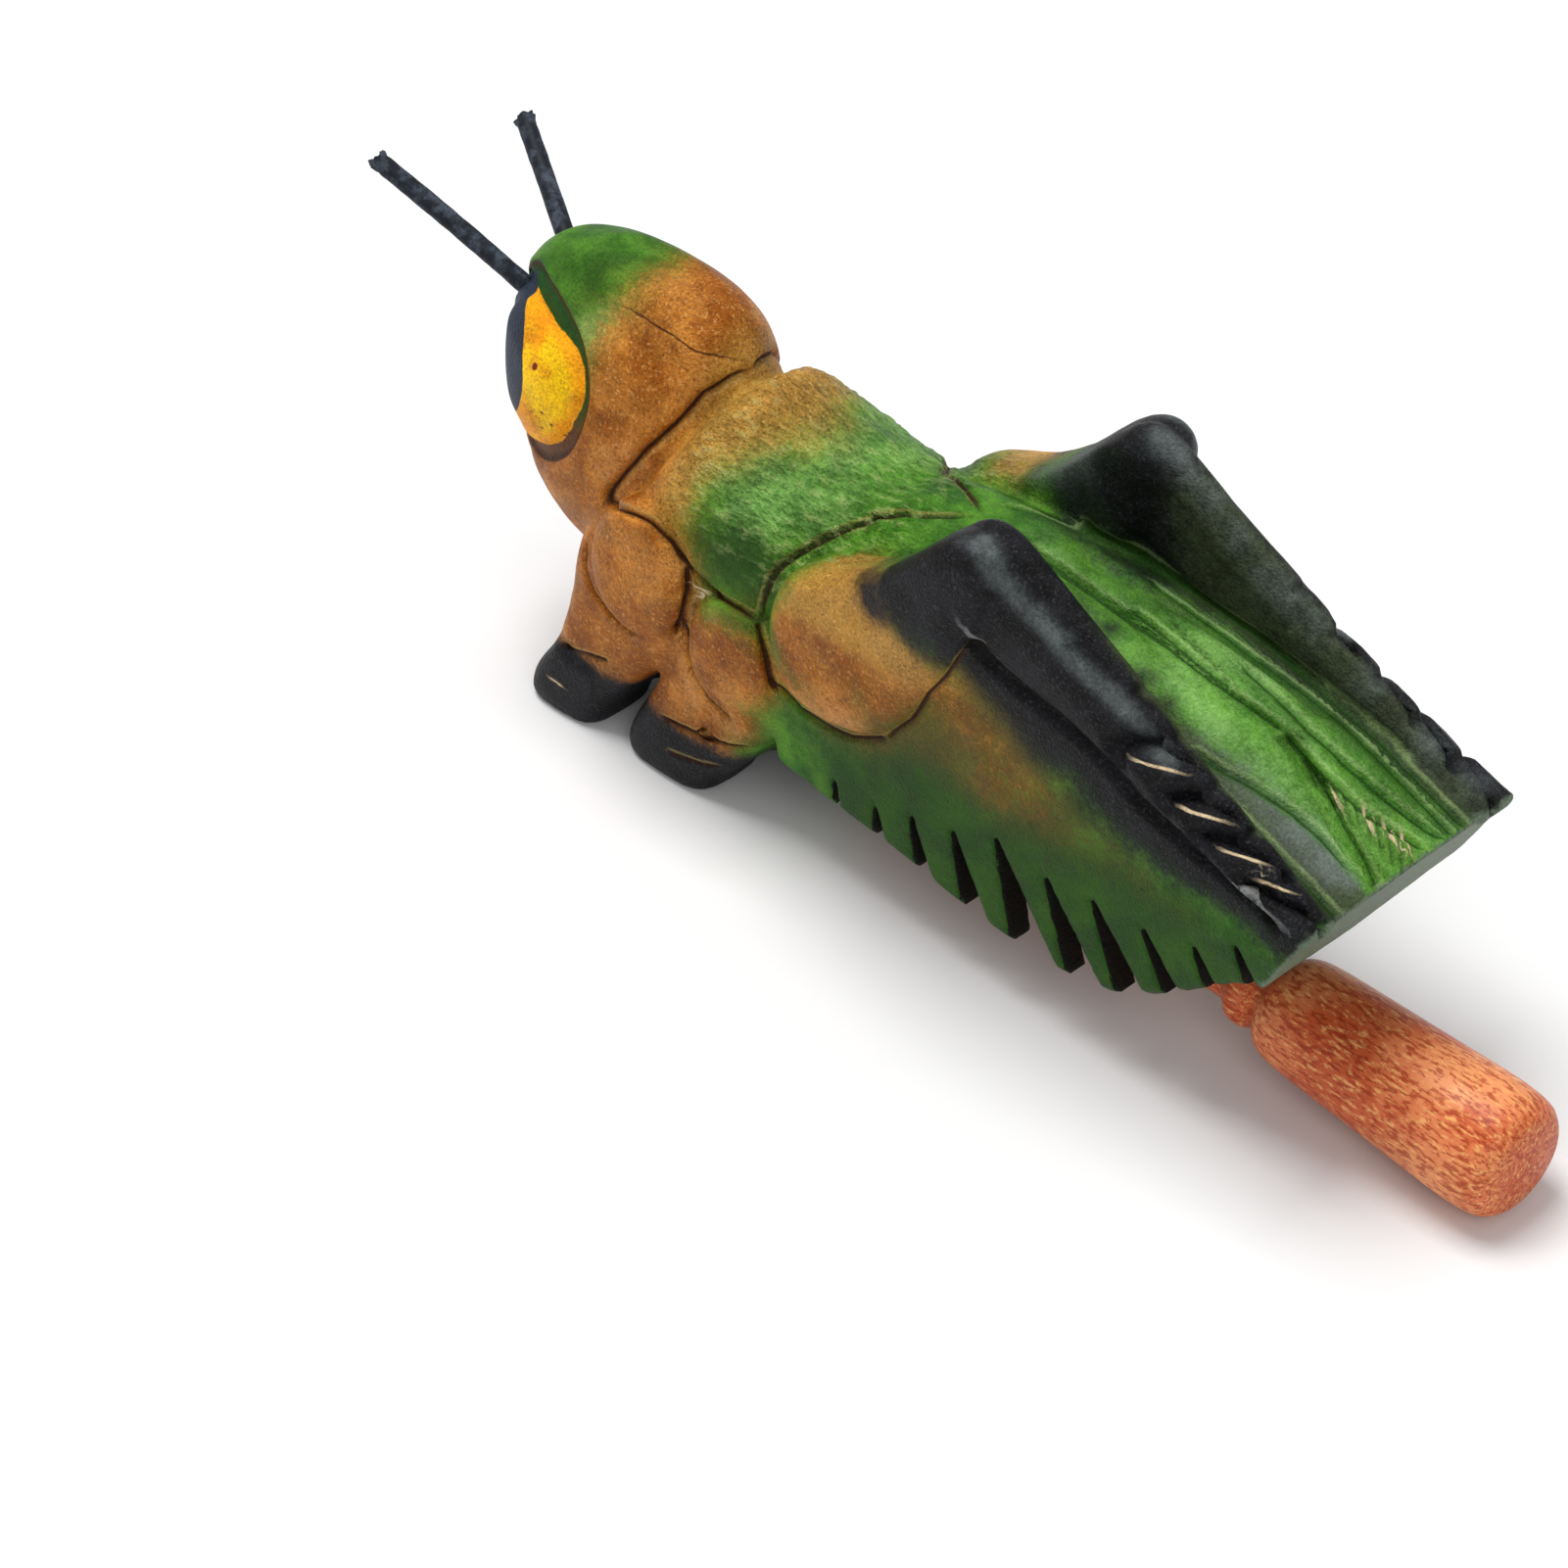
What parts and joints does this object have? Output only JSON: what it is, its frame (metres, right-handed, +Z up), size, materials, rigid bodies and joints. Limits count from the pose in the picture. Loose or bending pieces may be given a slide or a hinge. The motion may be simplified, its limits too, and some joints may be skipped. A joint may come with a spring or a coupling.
{
  "type": "cricket guiro",
  "caption": "Hand-carved wooden cricket with notched side panels, scraped with the turned stick stored in its hollow underside.",
  "frame": {"origin": "middle of the bounding box at the plane that the feet and the striker's end stand on", "axes": "+Z up, -X towards the head, -Y towards the insect's left side"},
  "size_m": [0.2112, 0.0452, 0.0776],
  "materials": {
    "painted_wood": "satin varnish over sprayed green, orange-brown and black",
    "black_rubber": "matt",
    "stained_wood": "satin varnish over a red-brown stain"
  },
  "bodies": {
    "root": {"carved_body": "painted_wood", "antenna_left": "black_rubber", "antenna_right": "black_rubber", "striker": "stained_wood"}
  },
  "joints": []
}
